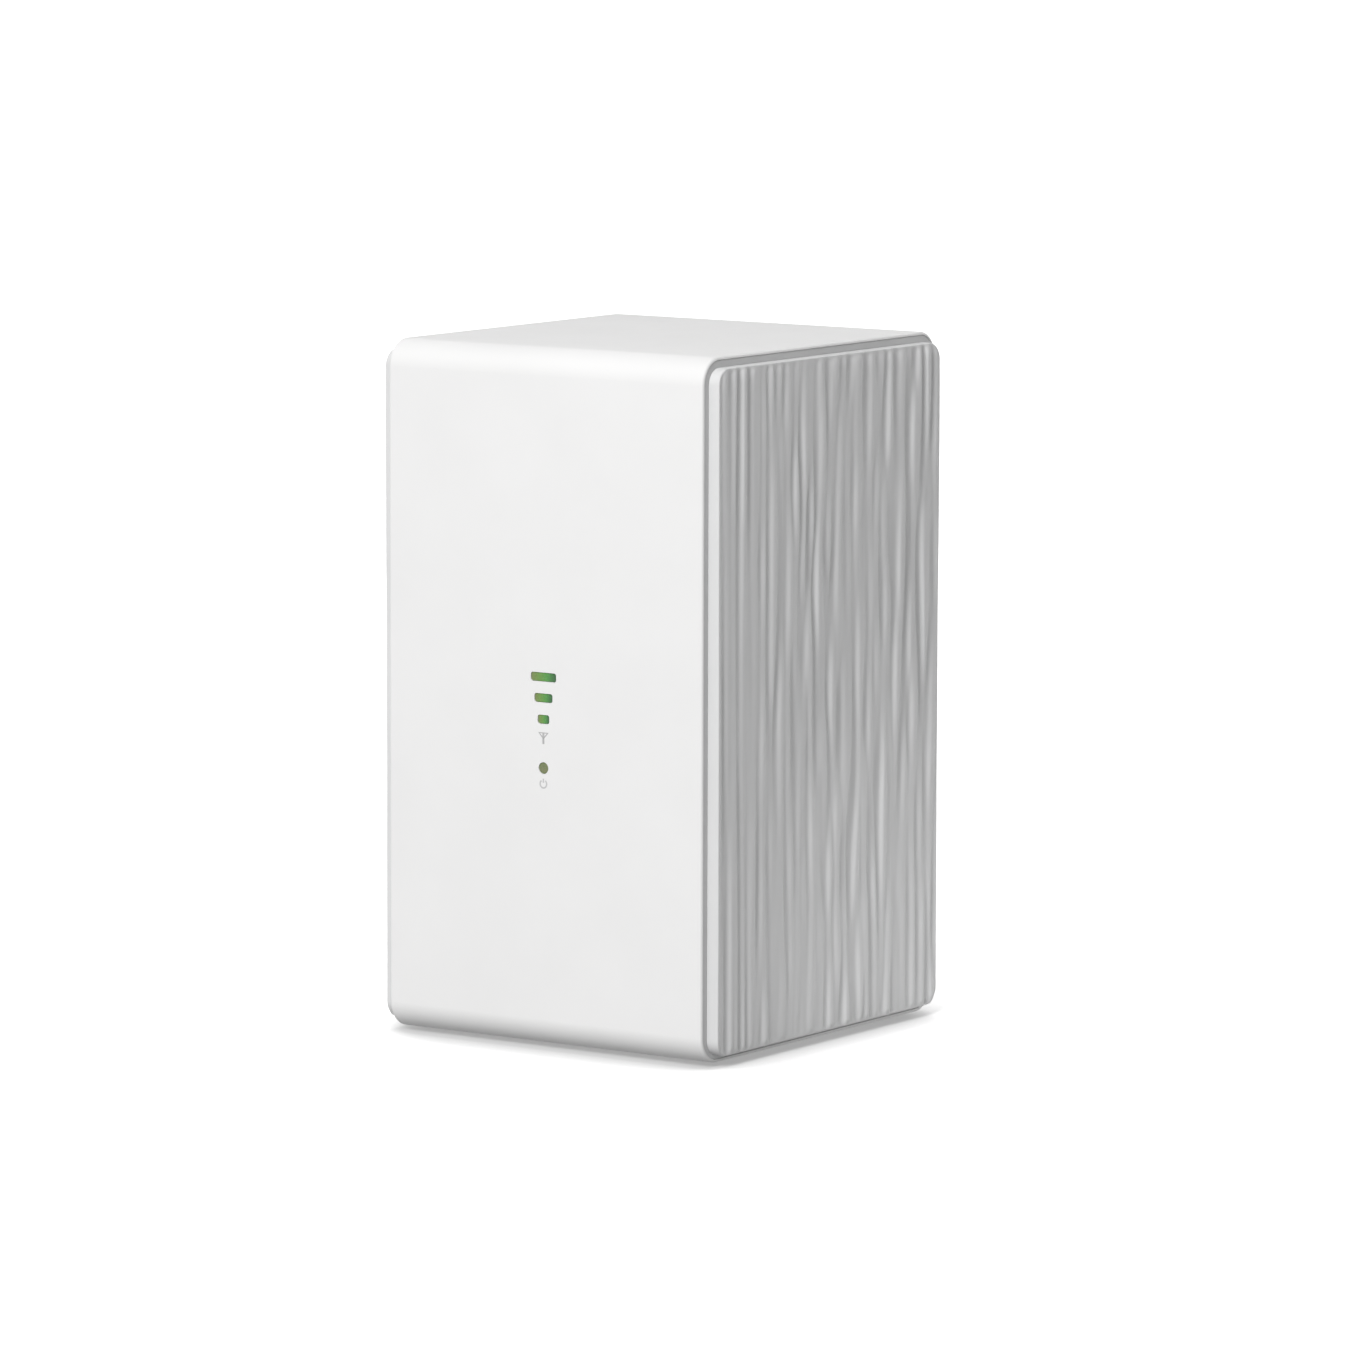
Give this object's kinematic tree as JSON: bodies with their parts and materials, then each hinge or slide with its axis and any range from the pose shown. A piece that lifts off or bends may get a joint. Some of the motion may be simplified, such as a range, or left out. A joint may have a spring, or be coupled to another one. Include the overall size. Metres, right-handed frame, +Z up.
{
  "type": "mesh wifi node",
  "caption": "Tall box-shaped home wifi node: white wrap-round sleeve, silver ribbed end panels, green link-strength bars on the front, sockets and push buttons at the rear.",
  "frame": {"origin": "centre of the footprint on the surface that the rubber feet stand on", "axes": "+Z up, -Y out of the front with the indicators, +Y out of the rear with the sockets, +X towards the right-hand ribbed panel seen from the front"},
  "size_m": [0.0876, 0.09, 0.151],
  "materials": {
    "white_case": "satin moulded white plastic",
    "silver_panel": "silver-grey paint with a fine metallic fleck on moulded plastic",
    "grey_case": "fine-grained grey plastic",
    "foot_rubber": "matt",
    "screw_steel": "zinc plated",
    "frame_plastic": "matt",
    "circuit_board": "solder mask over fibreglass",
    "black_component": "matt moulded epoxy",
    "thermal_pad": "soft, matt",
    "bare_aluminium": "as extruded",
    "tinned_steel": "tin plated",
    "black_plastic": "satin",
    "green_light": "lit translucent green",
    "power_light": "lit translucent olive green",
    "lamp_package": "small lamp package with phosphor",
    "ribbon_white": "laminated film",
    "lead_black": "satin jacket",
    "aerial_board": "solder mask over copper"
  },
  "bodies": {
    "housing": {"aerial_front": "aerial_board", "aerial_lead_front": "lead_black", "aerial_lead_left": "lead_black", "aerial_lead_rear": "lead_black", "aerial_lead_right": "lead_black", "aerial_left": "aerial_board", "aerial_rear": "aerial_board", "aerial_right": "aerial_board", "board_screw_1": "screw_steel", "board_screw_2": "screw_steel", "board_screw_3": "screw_steel", "board_screw_4": "screw_steel", "bottom_cover": "grey_case", "cover_screw_1": "screw_steel", "cover_screw_2": "screw_steel", "cover_screw_3": "screw_steel", "cover_screw_4": "screw_steel", "end_cover_left": "grey_case", "end_cover_right": "grey_case", "ethernet_jack_1": "black_plastic", "ethernet_jack_2": "black_plastic", "ethernet_transformer": "black_component", "heatsink": "bare_aluminium", "inner_frame": "frame_plastic", "input_capacitor": "bare_aluminium", "light_baffle": "black_plastic", "light_board": "circuit_board", "light_board_screw_1": "screw_steel", "light_board_screw_2": "screw_steel", "light_ribbon": "ribbon_white", "main_board": "circuit_board", "pair_switch": "black_component", "power_inlet": "black_plastic", "power_lamp": "lamp_package", "power_light_guide": "power_light", "power_switch": "black_component", "processor_chip": "black_component", "reset_switch": "black_component", "ribbed_panel_left": "silver_panel", "ribbed_panel_right": "silver_panel", "ribbon_socket": "ribbon_white", "rubber_foot_1": "foot_rubber", "rubber_foot_2": "foot_rubber", "rubber_foot_3": "foot_rubber", "rubber_foot_4": "foot_rubber", "shield_can_lower": "tinned_steel", "shield_can_upper": "tinned_steel", "signal_lamp_long": "lamp_package", "signal_lamp_middle": "lamp_package", "signal_lamp_short": "lamp_package", "signal_light_guide_long": "green_light", "signal_light_guide_middle": "green_light", "signal_light_guide_short": "green_light", "socket_plate": "grey_case", "thermal_pad": "thermal_pad", "wrap_sleeve": "white_case"},
    "power_button": {"power_button": "silver_panel"},
    "pair_button": {"pair_button": "silver_panel"},
    "reset_pin": {"reset_pin": "grey_case"}
  },
  "joints": [
    {"name": "power_button_press", "type": "slide", "parent": "housing", "child": "power_button", "axis": [0, -1, 0], "range_m": [0, 0.001], "stiffness_N_per_m": 900},
    {"name": "pair_button_press", "type": "slide", "parent": "housing", "child": "pair_button", "axis": [0, -1, 0], "range_m": [0, 0.0008], "stiffness_N_per_m": 900},
    {"name": "reset_pin_press", "type": "slide", "parent": "housing", "child": "reset_pin", "axis": [0, -1, 0], "range_m": [0, 0.0005], "stiffness_N_per_m": 900}
  ]
}
